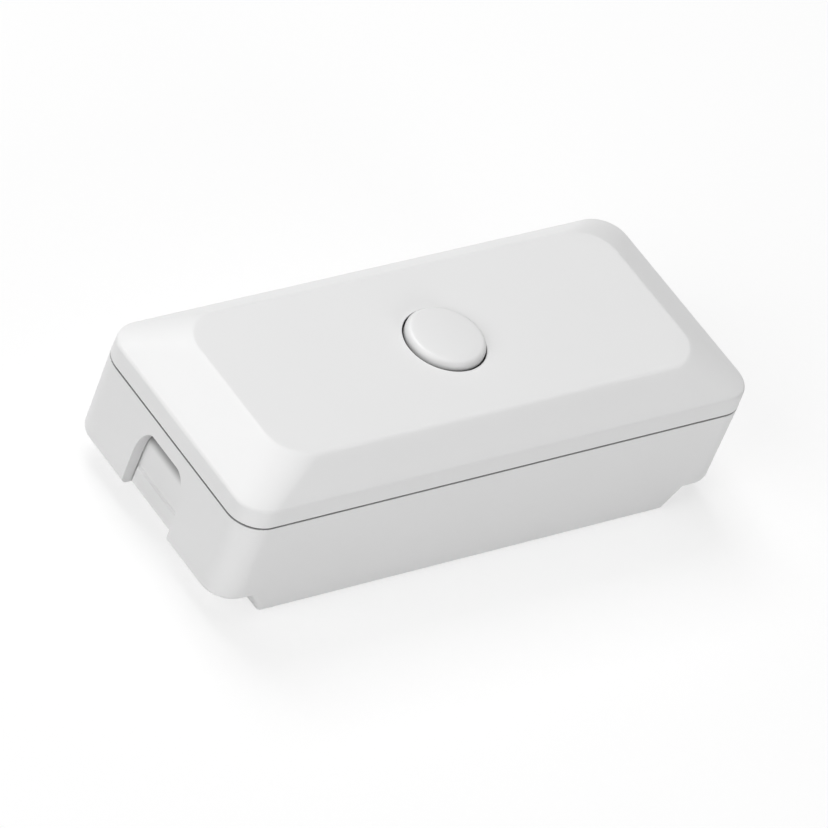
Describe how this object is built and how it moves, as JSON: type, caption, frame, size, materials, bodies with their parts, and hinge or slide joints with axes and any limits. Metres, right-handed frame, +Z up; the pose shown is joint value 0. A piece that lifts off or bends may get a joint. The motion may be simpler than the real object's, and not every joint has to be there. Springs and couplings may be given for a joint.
{
  "type": "inline cord dimmer",
  "caption": "Slim white box with a chamfered cover, a round push button on top and a cord notch in each end, that dims a lamp from within its cord.",
  "frame": {"origin": "middle of the flat belly that the dimmer rests on, the bottom centre of its box", "axes": "+X along the housing from the input entry to the output entry, +Y across it, +Z up through the push button"},
  "size_m": [0.09, 0.0386, 0.0268],
  "materials": {
    "housing_plastic": "white moulded plastic with a very fine matt grain",
    "button_plastic": "white moulded plastic, smoother than the housing",
    "grommet_rubber": "white soft plastic, matt",
    "clamp_plastic": "white moulded plastic",
    "screw_steel": "zinc plated steel",
    "board_laminate": "green solder resist on glass laminate",
    "insulation_film": "pale insulating film",
    "black_plastic": "black moulded epoxy",
    "plunger_plastic": "off-white moulded plastic",
    "dome_steel": "spring steel",
    "terminal_plastic": "green moulded plastic",
    "terminal_brass": "nickelled brass",
    "ferrite": "dark ceramic ferrite",
    "copper_wire": "enamelled copper",
    "capacitor_case": "yellow moulded case",
    "capacitor_sleeve": "dark shrink sleeve",
    "varistor_coat": "blue dipped coating",
    "fuse_case": "brown moulded case",
    "spreader_aluminium": "bare sheet aluminium"
  },
  "bodies": {
    "housing": {"base_housing": "housing_plastic", "top_cover": "housing_plastic", "cord_grommet_input": "grommet_rubber", "cord_grommet_output": "grommet_rubber", "cord_clamp_input": "clamp_plastic", "cord_clamp_output": "clamp_plastic", "clamp_screws_input": "screw_steel", "clamp_screws_output": "screw_steel", "housing_screws": "screw_steel", "board_screws": "screw_steel", "transistor_screws": "screw_steel", "circuit_board": "board_laminate", "insulation_sheet": "insulation_film", "switch_body": "black_plastic", "snap_dome": "dome_steel", "terminal_block_input": "terminal_plastic", "terminal_block_output": "terminal_plastic", "terminal_cages_input": "terminal_brass", "terminal_cages_output": "terminal_brass", "terminal_screws_input": "screw_steel", "terminal_screws_output": "screw_steel", "choke_core": "ferrite", "choke_winding": "copper_wire", "film_capacitor": "capacitor_case", "electrolytic_capacitor": "capacitor_sleeve", "varistor": "varistor_coat", "fuse": "fuse_case", "heat_spreader": "spreader_aluminium", "power_transistor_left": "black_plastic", "power_transistor_right": "black_plastic", "control_chip": "black_plastic", "bridge_rectifier": "black_plastic"},
    "button": {"push_button": "button_plastic"},
    "plunger": {"switch_plunger": "plunger_plastic"}
  },
  "joints": [
    {"name": "button_press", "type": "slide", "parent": "housing", "child": "button", "axis": [0, 0, -1], "range_m": [0, 0.0008], "stiffness_N_per_m": 1200, "springref_m": -0.0005},
    {"name": "plunger_press", "type": "slide", "parent": "housing", "child": "plunger", "axis": [0, 0, -1], "range_m": [0, 0.0008], "deforming": ["snap_dome"]}
  ],
  "couplings": [
    {"joint": "plunger_press", "follows": "button_press", "ratio": 1}
  ]
}
